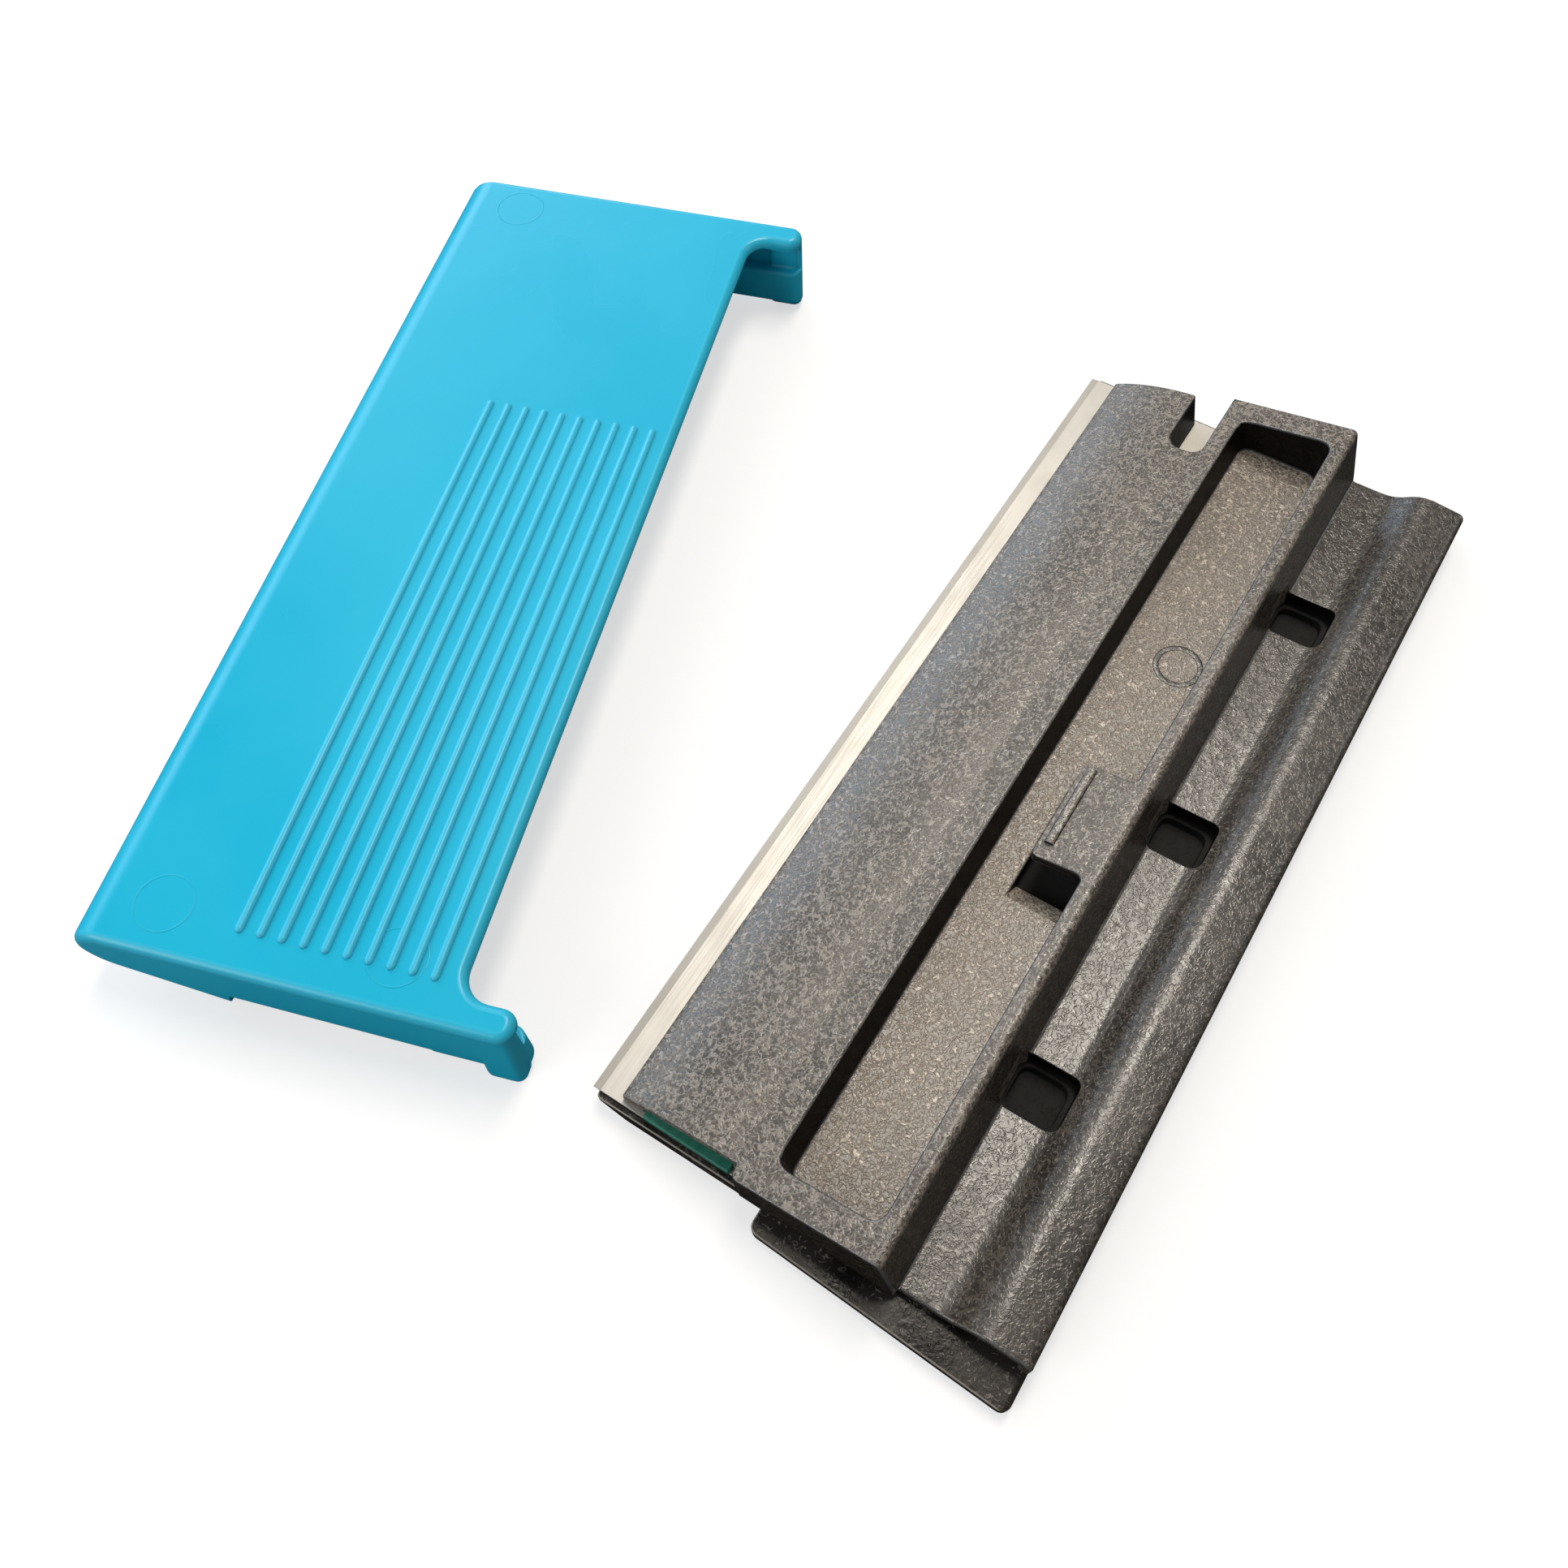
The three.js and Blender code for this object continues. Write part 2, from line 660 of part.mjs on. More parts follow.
// The holder's pieces are drawn from the blade's edge. The group puts the underside's middle at the origin.
const holder = new THREE.Group();
holder.position.set(0, -gripBack / 2, 0);
holder.add(meshOf("holder_body", bodySolid(), darkNylon));
holder.add(meshOf("back_plate", backPlateSolid(), glossNylon));
holder.add(meshOf("blade", bladeSolid(), bladeSteel));
holder.add(meshOf("blade_keeper", keeperSolid(), tealPlastic));

// The guard is drawn from its nose, then turned and laid with the tip of its near leg beside the blade.
const guardPlace = new THREE.Group();
const turn = THREE.MathUtils.degToRad(guardTurn);
const legTip = new THREE.Vector3(guardHalf, guardDepth, 0).applyAxisAngle(new THREE.Vector3(0, 0, 1), turn);
guardPlace.position.set(bladeHalf + guardTipPast, -guardApart, 0).sub(legTip);
guardPlace.rotation.z = turn;
guardPlace.add(meshOf("blade_guard", guardSolid(), bluePlastic));
holder.add(guardPlace);

const scraper = new THREE.Group();
scraper.add(holder);

export default scraper;
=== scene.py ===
# %% [markdown]
# # A window scraper with its blade guard taken off
# The tool is a wide steel blade clamped between a thin back plate and a dark nylon holder, and beside it
# lies the light-blue guard that snaps over the blade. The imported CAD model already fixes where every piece
# is and how it moves. This lesson dresses that model: it rounds the edges as a mould does, adds the small
# marks of the real mouldings and gives each piece a finish. Lengths are written in millimetres and scaled
# to Blender's metres.

import math

import bmesh
import bpy
from mathutils import Matrix, Vector


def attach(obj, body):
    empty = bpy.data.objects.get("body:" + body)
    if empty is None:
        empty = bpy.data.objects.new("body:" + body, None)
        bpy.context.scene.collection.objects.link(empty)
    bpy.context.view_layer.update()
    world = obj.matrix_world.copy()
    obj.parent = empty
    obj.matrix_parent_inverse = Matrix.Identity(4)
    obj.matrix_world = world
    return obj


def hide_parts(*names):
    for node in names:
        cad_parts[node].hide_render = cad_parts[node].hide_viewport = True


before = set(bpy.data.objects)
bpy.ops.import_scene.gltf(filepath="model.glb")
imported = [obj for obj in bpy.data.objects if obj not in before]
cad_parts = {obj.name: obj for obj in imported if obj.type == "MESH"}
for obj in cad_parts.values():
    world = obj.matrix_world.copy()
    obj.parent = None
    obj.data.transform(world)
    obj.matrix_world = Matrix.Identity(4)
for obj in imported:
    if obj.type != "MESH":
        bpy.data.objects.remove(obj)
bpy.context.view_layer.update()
MM = 0.001

# %% [markdown]
# ## Camera
# The photograph looks down on the tool at about 60 degrees, from its near end. A camera was fitted to the
# blade, the holder and the pocket, whose true shapes are known, so its place and turn are plain numbers
# here. The picture is square, so the lens follows from the sensor's width alone.

# %% Camera
CAMERA_PLACE = Vector((101.58, 19.97, 183.53)) * MM
CAMERA_TURN = [math.radians(angle) for angle in (28.2844, 1.5345, 122.4100)]
camera_data = bpy.data.cameras.new("photo_camera")
camera_data.sensor_width = 36
camera_data.lens = 31.18
camera_data.clip_start = 0.01
camera = bpy.data.objects.new("photo_camera", camera_data)
camera.location = CAMERA_PLACE
camera.rotation_euler = CAMERA_TURN
bpy.context.scene.collection.objects.link(camera)
bpy.context.scene.camera = camera
bpy.context.scene.view_settings.view_transform = "Standard"
print("camera at", [round(x / MM) for x in camera.location], "mm, lens", camera_data.lens)

# %% [markdown]
# ## Node helpers
# A material here is a short chain of nodes that ends in one Principled shader. These helpers add a node,
# set or link its inputs and hand back the socket that the next node needs, so each finish below reads as
# a recipe.


# %% Node helpers
def add(tree, kind, inputs=None, **settings):
    node = tree.nodes.new(kind)
    for name, value in settings.items():
        setattr(node, name, value)
    for socket, value in (inputs or {}).items():
        if isinstance(value, bpy.types.NodeSocket):
            tree.links.new(value, node.inputs[socket])
        else:
            node.inputs[socket].default_value = value
    return node


def calc(tree, operation, first, second=0.0, clamp=False):
    settings = {"operation": operation, "use_clamp": clamp}
    return add(tree, "ShaderNodeMath", {0: first, 1: second}, **settings).outputs[0]


def stretch(tree, value, low, high, to_low=0.0, to_high=1.0):
    """Maps low..high softly onto to_low..to_high."""
    inputs = {"Value": value, "From Min": low, "From Max": high, "To Min": to_low, "To Max": to_high}
    return add(tree, "ShaderNodeMapRange", inputs, interpolation_type="SMOOTHSTEP").outputs[0]


def tint(tree, factor, first, second):
    """Mixes two colours: factor 0 gives the first, 1 the second."""
    node = add(tree, "ShaderNodeMix", data_type="RGBA", clamp_factor=True)
    for socket, value in ((0, factor), (6, first), (7, second)):
        if isinstance(value, bpy.types.NodeSocket):
            tree.links.new(value, node.inputs[socket])
        elif socket == 0:
            node.inputs[socket].default_value = value
        else:
            node.inputs[socket].default_value = (*value, 1)
    return node.outputs[2]


def cloud(tree, vector, size, detail=2.0, bend=0.0):
    """Noise whose blobs are about size millimetres across."""
    inputs = {"Vector": vector, "Scale": 1 / (size * MM), "Detail": detail, "Distortion": bend}
    return add(tree, "ShaderNodeTexNoise", inputs).outputs["Fac"]


def object_points(tree):
    return add(tree, "ShaderNodeTexCoord").outputs["Object"]


def moved(tree, vector, offset):
    inputs = {"Vector": vector, "Location": [x * MM for x in offset]}
    return add(tree, "ShaderNodeMapping", inputs).outputs[0]


def drawn_out(tree, vector, squeeze):
    """Points squeezed along X, so that a noise on them is drawn out into lines along X."""
    return add(tree, "ShaderNodeMapping", {"Vector": vector, "Scale": (squeeze, 1, 1)}).outputs[0]


def painted(tree, name):
    """A value that the mesh carries on its faces."""
    return add(tree, "ShaderNodeAttribute", attribute_name=name).outputs["Fac"]


def bump(tree, height, depth):
    """Turns a height from 0 to 1 into a relief of depth millimetres."""
    inputs = {"Height": height, "Distance": depth * MM, "Strength": 1.0}
    return add(tree, "ShaderNodeBump", inputs).outputs[0]


def finish_of(name, **sockets):
    """A new material with one Principled shader. Constants go straight on the shader's own sockets."""
    material = bpy.data.materials.new(name)
    material.use_nodes = True
    shader = material.node_tree.nodes["Principled BSDF"]
    for socket, value in sockets.items():
        shader.inputs[socket.replace("_", " ")].default_value = value
    return material, material.node_tree, shader


# %% [markdown]
# ## Stage and light
# The photograph has a pure white ground with faint soft shadows. A big pale floor catches the shadows, and
# a glow that doesn't light the tool lifts it to white for the camera. The glow grows outside the lit spot,
# where the panels reach the floor less, so the ground stays white. Mirror rays see that white ground too,
# but only outside the lit spot: close to the tool they meet a darker floor, because a white one there would
# turn the guard's steep end walls grey, and in the photograph they keep their blue.
#
# The main light is high beyond the far end, a little to the blade's side: the flat nylon mirrors it towards
# the camera, and walls that face the other way stay dark. A cool panel on the blade's side makes the sheen
# along the curved front edges. Three weak fills keep the rest from going black: one above the cool panel,
# one at the near end for the end faces, and one behind the grip for the frame's rear wall.

# %% Floor
FLOOR_DROP = 0.05 * MM
FLOOR_SIZE = 6.0
FLOOR_TONE, MIRROR_TONE = 0.45, 0.045
FLOOR_GLOW = 0.62
LIT_SPOT, UNLIT = 0.35, 1.05


def floor_finish():
    material = bpy.data.materials.new("pale_floor")
    material.use_nodes = True
    tree = material.node_tree
    tree.nodes.clear()
    ray = add(tree, "ShaderNodeLightPath").outputs
    tone = stretch(tree, ray["Is Glossy Ray"], 0, 1, FLOOR_TONE, MIRROR_TONE)
    diffuse = add(tree, "ShaderNodeBsdfDiffuse", {"Color": tone})
    away = add(tree, "ShaderNodeVectorMath", {0: object_points(tree)}, operation="LENGTH").outputs["Value"]
    seen = calc(tree, "MAXIMUM", ray["Is Camera Ray"], ray["Is Transmission Ray"])
    seen = calc(tree, "MULTIPLY", seen, stretch(tree, away, LIT_SPOT, UNLIT, FLOOR_GLOW, 1.0))
    mirrored = calc(tree, "MULTIPLY", ray["Is Glossy Ray"], stretch(tree, away, LIT_SPOT, UNLIT))
    lift = calc(tree, "MAXIMUM", seen, mirrored)
    glow = add(tree, "ShaderNodeEmission", {"Color": (1, 1, 1, 1), "Strength": lift})
    both = add(tree, "ShaderNodeAddShader", {0: diffuse.outputs[0], 1: glow.outputs[0]})
    add(tree, "ShaderNodeOutputMaterial", {"Surface": both.outputs[0]})
    return material


bm = bmesh.new()
bmesh.ops.create_grid(bm, x_segments=1, y_segments=1, size=FLOOR_SIZE / 2)
bmesh.ops.translate(bm, verts=bm.verts, vec=(0, 0, -FLOOR_DROP))
floor_mesh = bpy.data.meshes.new("floor")
bm.to_mesh(floor_mesh)
bm.free()
floor = bpy.data.objects.new("floor", floor_mesh)
floor.data.materials.append(floor_finish())
bpy.context.scene.collection.objects.link(floor)
print("floor", FLOOR_SIZE, "m across")

# %% Light
WORLD_LEVEL = 0.17
LIGHT_AIM = Vector((10, -30, 5)) * MM
WHITE, WARM, COOL = (1.0, 1.0, 1.0), (1.0, 0.92, 0.82), (0.66, 0.82, 1.0)

world = bpy.data.worlds.new("studio")
bpy.context.scene.world = world
world.use_nodes = True
tree = world.node_tree
path = add(tree, "ShaderNodeLightPath")
level = stretch(tree, path.outputs["Is Camera Ray"], 0, 1, WORLD_LEVEL, 1.0)
tree.links.new(level, tree.nodes["Background"].inputs["Strength"])
tree.nodes["Background"].inputs["Color"].default_value = (1, 1, 1, 1)


def soft_panel(name, place, size, watts, colour):
    """A flat lamp that faces the tool: place in millimetres, width and height in metres."""
    lamp = bpy.data.objects.new(name, bpy.data.lights.new(name, "AREA"))
    lamp.data.shape = "RECTANGLE"
    lamp.data.size, lamp.data.size_y = size
    lamp.data.energy = watts
    lamp.data.color = colour
    lamp.location = Vector(place) * MM
    lamp.rotation_mode = "QUATERNION"
    lamp.rotation_quaternion = (lamp.location - LIGHT_AIM).to_track_quat("Z", "Y")
    bpy.context.scene.collection.objects.link(lamp)
    print(name, watts, "W")


soft_panel("key_panel", (-310, -90, 850), (0.20, 0.50), 4.8, WARM)
soft_panel("cool_panel", (-280, -780, 350), (1.00, 0.34), 4.3, COOL)
soft_panel("upper_fill", (-370, -460, 680), (0.50, 0.50), 0.6, WHITE)
soft_panel("near_fill", (650, -350, 420), (0.50, 0.40), 2.6, WHITE)
soft_panel("rear_fill", (-430, 330, 420), (0.16, 0.25), 0.3, WHITE)

# %% [markdown]
# ## Finish: glass-filled nylon
# The holder is nylon filled with short glass fibres. At the mould's skin the fibres show as pale curly
# hairs about a millimetre long in a dark brown-grey ground. Curly lines come cheaply from a noise: where
# it crosses its middle value it draws long winding contours, and a second noise breaks these into short
# pieces. Three such layers of different size cross each other. The mesh carries three painted values: how
# coarse the skin is, which faces are smooth upright walls and which faces are rounded edges. The coarse
# skin's pale ground is partly the real coarse skin and partly a painted sheen on the pocket's floor. The
# walls take a near-black colour, which is painted shade, and the rounded edges a pale tint, which is a
# painted highlight.

# %% Glass-filled nylon
NOISE_MIDDLE, BREAK_SOFTNESS = 0.5, 0.06
FINE_SKIN = (0.008, 0.0062, 0.005), (0.018, 0.0145, 0.012)
COARSE_SKIN_AND_SHEEN = (0.200, 0.168, 0.133), (0.285, 0.240, 0.192)
DARK_GRAIN = (0.050, 0.040, 0.031)
PALE_FIBRE = (0.48, 0.415, 0.345)
PALE_FLECK = (0.40, 0.38, 0.35)
WALL_PAINTED_SHADE = (0.004, 0.003, 0.0025)
EDGE_HIGHLIGHT = (0.13, 0.134, 0.145)
SKIN_RELIEF = 0.105


def hairs(tree, vector, size, width, offset, keep):
    """Curly hairs: contours of a noise of that size in millimetres, broken up by a second noise."""
    place = moved(tree, vector, offset)
    winding = cloud(tree, place, size, detail=1.0, bend=0.5)
    from_middle = calc(tree, "ABSOLUTE", calc(tree, "SUBTRACT", winding, NOISE_MIDDLE))
    line = stretch(tree, from_middle, 0, width, 1, 0)
    breaks = cloud(tree, moved(tree, place, (31, 7, 13)), size, 1.0)
    pieces = stretch(tree, breaks, keep - BREAK_SOFTNESS, keep + BREAK_SOFTNESS)
    return calc(tree, "MULTIPLY", line, pieces)


def fibre_nylon():
    material, tree, shader = finish_of("glass_filled_nylon")
    points = object_points(tree)
    coarse, wall, edge = (painted(tree, name) for name in ("coarse", "wall", "edge"))
    layers = [
        hairs(tree, points, 1.15, 0.056, (0, 0, 0), 0.44),
        hairs(tree, points, 0.9, 0.062, (57, 23, 41), 0.46),
        hairs(tree, points, 1.45, 0.046, (19, 71, 5), 0.44),
    ]
    fibre = calc(tree, "MAXIMUM", calc(tree, "MAXIMUM", layers[0], layers[1]), layers[2])
    fleck = stretch(tree, cloud(tree, moved(tree, points, (9, 9, 9)), 0.42, 0.0), 0.70, 0.78)
    mottle = cloud(tree, points, 11.0, 2.0)
    grain = cloud(tree, points, 0.35, 3.0)
    lumps = cloud(tree, moved(tree, points, (5, 3, 17)), 2.2, 1.5)
    patch = stretch(tree, mottle, 0.3, 0.7)
    # The coarse skin's pale ground is partly the real coarse skin and partly a painted sheen.
    coarse_skin_and_sheen = tint(tree, patch, *COARSE_SKIN_AND_SHEEN)
    coarse_skin_and_sheen = tint(tree, stretch(tree, grain, 0.35, 0.65, 0, 0.85), coarse_skin_and_sheen, DARK_GRAIN)
    ground = tint(tree, coarse, tint(tree, patch, *FINE_SKIN), coarse_skin_and_sheen)
    showing = calc(tree, "MULTIPLY", fibre, stretch(tree, coarse, 0, 1, 0.12, 0.95))
    colour = tint(tree, showing, ground, PALE_FIBRE)
    colour = tint(tree, calc(tree, "MULTIPLY", fleck, 0.35), colour, PALE_FLECK)
    # Upright walls are tinted near-black: painted shade.
    colour = tint(tree, calc(tree, "MULTIPLY", wall, 0.97), colour, WALL_PAINTED_SHADE)
    # Rounded edges are tinted pale and bluish: a painted highlight.
    colour = tint(tree, calc(tree, "MULTIPLY", edge, 0.35), colour, EDGE_HIGHLIGHT)
    tree.links.new(colour, shader.inputs["Base Color"])
    rough = stretch(tree, coarse, 0, 1, 0.31, 0.36)
    rough = calc(tree, "ADD", rough, stretch(tree, mottle, 0.3, 0.7, -0.03, 0.03))
    rough = calc(tree, "SUBTRACT", rough, calc(tree, "MULTIPLY", fibre, 0.06))
    tree.links.new(rough, shader.inputs["Roughness"])
    tree.links.new(stretch(tree, wall, 0, 1, 0.85, 0.05), shader.inputs["Specular IOR Level"])
    relief = calc(tree, "ADD", calc(tree, "MULTIPLY", fibre, 0.6), calc(tree, "MULTIPLY", grain, 0.4))
    relief = calc(tree, "MULTIPLY", relief, stretch(tree, coarse, 0, 1, 0.25, 1.0))
    relief = calc(tree, "ADD", relief, calc(tree, "MULTIPLY", lumps, stretch(tree, coarse, 0, 0.5, 1.1, 0.2)))
    relief = calc(tree, "MULTIPLY", relief, stretch(tree, wall, 0, 1, 1.0, 0.25))
    tree.links.new(bump(tree, relief, SKIN_RELIEF), shader.inputs["Normal"])
    return material


FIBRE_NYLON = fibre_nylon()
print("finish:", FIBRE_NYLON.name, len(FIBRE_NYLON.node_tree.nodes), "nodes")

# %% [markdown]
# ## Finish: glossy nylon
# The back plate is the same black-brown nylon without the mottled skin: it came out of a polished mould.
# A few fibres float under the gloss, and a pale tint on its rounded edges paints a thin highlight line.
# Between the flanges the plate shows only at the bottom of the holes, and its skin is dull there.

# %% Glossy nylon
FLANGE_START = 74.8 * MM, 75.4 * MM
POLISHED_SKIN = (0.005, 0.004, 0.0035), (0.026, 0.0215, 0.0185)
SUNK_FIBRE = (0.28, 0.25, 0.215)
PLATE_EDGE_HIGHLIGHT = (0.34, 0.31, 0.27)
DULL_MIDDLE = (0.022, 0.022, 0.021)
GLOSS_RELIEF = 0.030


def gloss_nylon():
    material, tree, shader = finish_of("polished_nylon")
    points = object_points(tree)
    edge = painted(tree, "edge")
    along = add(tree, "ShaderNodeSeparateXYZ", {0: points}).outputs["X"]
    inside = stretch(tree, calc(tree, "ABSOLUTE", along), *FLANGE_START, 1, 0)
    fibre = hairs(tree, points, 1.1, 0.040, (3, 11, 29), 0.47)
    mottle = cloud(tree, points, 9.0, 4.0)
    grain = cloud(tree, points, 0.7, 3.0)
    patch = stretch(tree, mottle, 0.42, 0.66)
    ground = tint(tree, patch, *POLISHED_SKIN)
    showing = calc(tree, "MULTIPLY", fibre, stretch(tree, patch, 0, 1, 0.15, 0.6))
    colour = tint(tree, showing, ground, SUNK_FIBRE)
    # Rounded edges are tinted pale: a painted highlight line.
    colour = tint(tree, calc(tree, "MULTIPLY", edge, 0.75), colour, PLATE_EDGE_HIGHLIGHT)
    colour = tint(tree, inside, colour, DULL_MIDDLE)
    tree.links.new(colour, shader.inputs["Base Color"])
    rough = stretch(tree, mottle, 0.35, 0.65, 0.18, 0.30)
    tree.links.new(calc(tree, "ADD", rough, calc(tree, "MULTIPLY", inside, 0.4)), shader.inputs["Roughness"])
    tree.links.new(stretch(tree, inside, 0, 1, 0.32, 0.1), shader.inputs["Specular IOR Level"])
    tree.links.new(bump(tree, calc(tree, "ADD", grain, fibre), GLOSS_RELIEF), shader.inputs["Normal"])
    return material


GLOSS_NYLON = gloss_nylon()
print("finish:", GLOSS_NYLON.name, len(GLOSS_NYLON.node_tree.nodes), "nodes")

# %% [markdown]
# ## Finish: blade steel
# The blade is pale ground steel. Grinding leaves fine lines along the blade, and the narrow bevel at the
# cutting edge is a little darker and warmer. Stretching a noise along the blade gives the lines, and the
# painted value of the bevel's faces gives its tone.

# %% Blade steel
PALE_STEEL = (0.57, 0.55, 0.505), (0.51, 0.487, 0.442)
GRINDING_LINE = (0.48, 0.455, 0.405)
BEVEL_STEEL = (0.42, 0.37, 0.30)


def blade_steel():
    material, tree, shader = finish_of("ground_steel", Metallic=0.6)
    points = object_points(tree)
    bevel = painted(tree, "bevel")
    lines = cloud(tree, drawn_out(tree, points, 0.02), 0.22, 3.0)
    stain = cloud(tree, points, 6.0, 5.0)
    colour = tint(tree, stretch(tree, stain, 0.35, 0.7), *PALE_STEEL)
    colour = tint(tree, calc(tree, "MULTIPLY", lines, 0.25), colour, GRINDING_LINE)
    colour = tint(tree, calc(tree, "MULTIPLY", bevel, 0.6), colour, BEVEL_STEEL)
    tree.links.new(colour, shader.inputs["Base Color"])
    tree.links.new(stretch(tree, lines, 0.3, 0.7, 0.42, 0.54), shader.inputs["Roughness"])
    tree.links.new(bump(tree, lines, 0.004), shader.inputs["Normal"])
    return material


BLADE_STEEL = blade_steel()
print("finish:", BLADE_STEEL.name, len(BLADE_STEEL.node_tree.nodes), "nodes")

# %% [markdown]
# ## Finish: coloured plastics
# The guard is glossy light-blue polypropylene. Such a moulding is never one flat blue: the flow of the
# melt leaves hazy pale patches, the surface has a faint orange-peel ripple and fine dust dulls it. The
# blade keeper is a plain teal strip with a satin skin.

# %% Coloured plastics
CLEAN_BLUE = (0.004, 0.440, 0.665), (0.012, 0.470, 0.690)
DUSTY_BLUE = (0.020, 0.465, 0.670)
BLUE_EDGE_HIGHLIGHT = (0.12, 0.62, 0.82)
SATIN_TEAL = (0.022, 0.180, 0.122), (0.032, 0.232, 0.162)


def blue_plastic():
    material, tree, shader = finish_of("light_blue_plastic", Specular_IOR_Level=0.32)
    points = object_points(tree)
    edge = painted(tree, "edge")
    haze = cloud(tree, points, 38.0, 3.0, bend=0.4)
    ripple = cloud(tree, points, 2.2, 2.0)
    dust = cloud(tree, points, 0.5, 4.0)
    colour = tint(tree, stretch(tree, haze, 0.35, 0.72), *CLEAN_BLUE)
    colour = tint(tree, stretch(tree, dust, 0.5, 0.8, 0, 0.25), colour, DUSTY_BLUE)
    # Rounded edges are tinted pale: a painted highlight.
    colour = tint(tree, calc(tree, "MULTIPLY", edge, 0.2), colour, BLUE_EDGE_HIGHLIGHT)
    tree.links.new(colour, shader.inputs["Base Color"])
    rough = stretch(tree, haze, 0.3, 0.7, 0.25, 0.32)
    tree.links.new(rough, shader.inputs["Roughness"])
    tree.links.new(bump(tree, ripple, 0.004), shader.inputs["Normal"])
    return material


def teal_plastic():
    material, tree, shader = finish_of("satin_teal_plastic", Specular_IOR_Level=0.5)
    points = object_points(tree)
    streak = cloud(tree, drawn_out(tree, points, 0.1), 1.5, 3.0)
    colour = tint(tree, stretch(tree, streak, 0.35, 0.65), *SATIN_TEAL)
    tree.links.new(colour, shader.inputs["Base Color"])
    tree.links.new(stretch(tree, streak, 0.3, 0.7, 0.40, 0.52), shader.inputs["Roughness"])
    tree.links.new(bump(tree, cloud(tree, points, 0.4, 3.0), 0.01), shader.inputs["Normal"])
    return material


BLUE_PLASTIC = blue_plastic()
TEAL_PLASTIC = teal_plastic()
print("finishes:", BLUE_PLASTIC.name, TEAL_PLASTIC.name)

# %% [markdown]
# ## Rounding edges
# A CAD solid has knife-sharp edges, and no moulding has. The steps are always the same: take the solid's
# mesh, weld its loose triangles, melt flat neighbours into single faces, pick the sharp edges and bevel
# them by the radius that the mould had. The bevel hands back its new faces, and these are painted as edge
# faces, so that a finish can treat them apart.


# %% Rounding helpers
PAINTS = ("edge", "coarse", "wall", "bevel")


def welded(mesh, weld=0.03, flat=0.8):
    """The mesh as a clean bmesh: near points welded, flat neighbours melted into one face."""
    bm = bmesh.new()
    bm.from_mesh(mesh)
    for name in PAINTS:
        if name not in bm.faces.layers.float:
            bm.faces.layers.float.new(name)
    bmesh.ops.remove_doubles(bm, verts=bm.verts, dist=weld * MM)
    limit = math.radians(flat)
    bmesh.ops.dissolve_limit(bm, angle_limit=limit, verts=bm.verts, edges=bm.edges)
    return bm


def sharp_edges(bm, angle=30.0, wanted=None):
    limit = math.radians(angle)
    found = [e for e in bm.edges if e.is_manifold and e.calc_face_angle() > limit]
    return [e for e in found if wanted is None or wanted(e)]


def soften(bm, edges, radius, segments=2):
    """Bevels the edges by radius millimetres and paints the new faces as edge faces."""
    made = bmesh.ops.bevel(
        bm,
        geom=edges,
        offset=radius * MM,
        segments=segments,
        profile=0.5,
        affect="EDGES",
        clamp_overlap=False,
    )
    paint = bm.faces.layers.float["edge"]
    for face in made["faces"]:
        face[paint] = 1.0
    return made["faces"]


def bake_modifiers(piece):
    """Turns the piece with its modifiers into a plain mesh."""
    bpy.context.view_layer.update()
    evaluated = piece.evaluated_get(bpy.context.evaluated_depsgraph_get())
    mesh = bpy.data.meshes.new_from_object(evaluated)
    piece.modifiers.clear()
    old, piece.data = piece.data, mesh
    mesh.name = piece.name
    bpy.data.meshes.remove(old)


def piece_from(bm, name, material, smooth=40.0):
    """A finished piece at the origin: smooth faces, flat ones kept flat by weighted normals."""
    mesh = bpy.data.meshes.new(name)
    bm.to_mesh(mesh)
    bm.free()
    mesh.materials.append(material)
    mesh.shade_smooth()
    mesh.set_sharp_from_angle(angle=math.radians(smooth))
    piece = bpy.data.objects.new(name, mesh)
    bpy.context.scene.collection.objects.link(piece)
    weigh = piece.modifiers.new("weigh_normals", "WEIGHTED_NORMAL")
    weigh.keep_sharp = True
    bake_modifiers(piece)
    print(name, len(piece.data.vertices), "points", len(piece.data.polygons), "faces")
    return piece


# %% [markdown]
# ## Holder body
# One moulding makes the curved cover over the blade, the frame with its long pocket, the spring tab, the
# trough and the wave-shaped grip. The CAD solid has all of these, so its copy only needs rounding. That
# takes two passes: beside the tab's rib, at the notch's foot and at the holes the full radius has no room,
# so these places get a tighter one. Edges that rest on the back plate don't show and stay sharp. Then the
# faces are painted. The pocket's floor has the coarsest skin, cover and frame a medium one, trough and grip
# a fine one; the coarse skin's pale ground also paints part of the sheen on the pocket's floor. Upright
# walls of the frame, the notch and the holes are smooth, and a near-black colour paints the shade on them,
# less on the frame's outer rear and end walls.

# %% Holder body, rounding
BODY_ROUND, TIGHT_ROUND = 0.35, 0.12
SEAT_TOP = 4.8 * MM
HOLES = (-44.4, 0.0, 44.4)
TIGHT_ZONES = [
    ((0.5, 1.5, 11.0), (18.3, 4.8, 15.0)),
    ((-78.0, -10.2, 2.0), (-61.5, -7.6, 6.5)),
    *[((x - 5.4, 13.4, 2.0), (x + 5.4, 23.2, 6.4)) for x in HOLES],
]


def shows(edge):
    """True where the edge lies above the seat on the back plate."""
    return max(v.co.z for v in edge.verts) > SEAT_TOP


def tight(edge):
    """True beside the tab's rib, at the notch's foot and at the holes."""
    middle = (edge.verts[0].co + edge.verts[1].co) / 2 / MM
    return any(all(low[i] < middle[i] < high[i] for i in range(3)) for low, high in TIGHT_ZONES)


def still_sharp(edge):
    """True where the edge has no rounded face beside it yet."""
    return max(face[edge_paint] for face in edge.link_faces) == 0


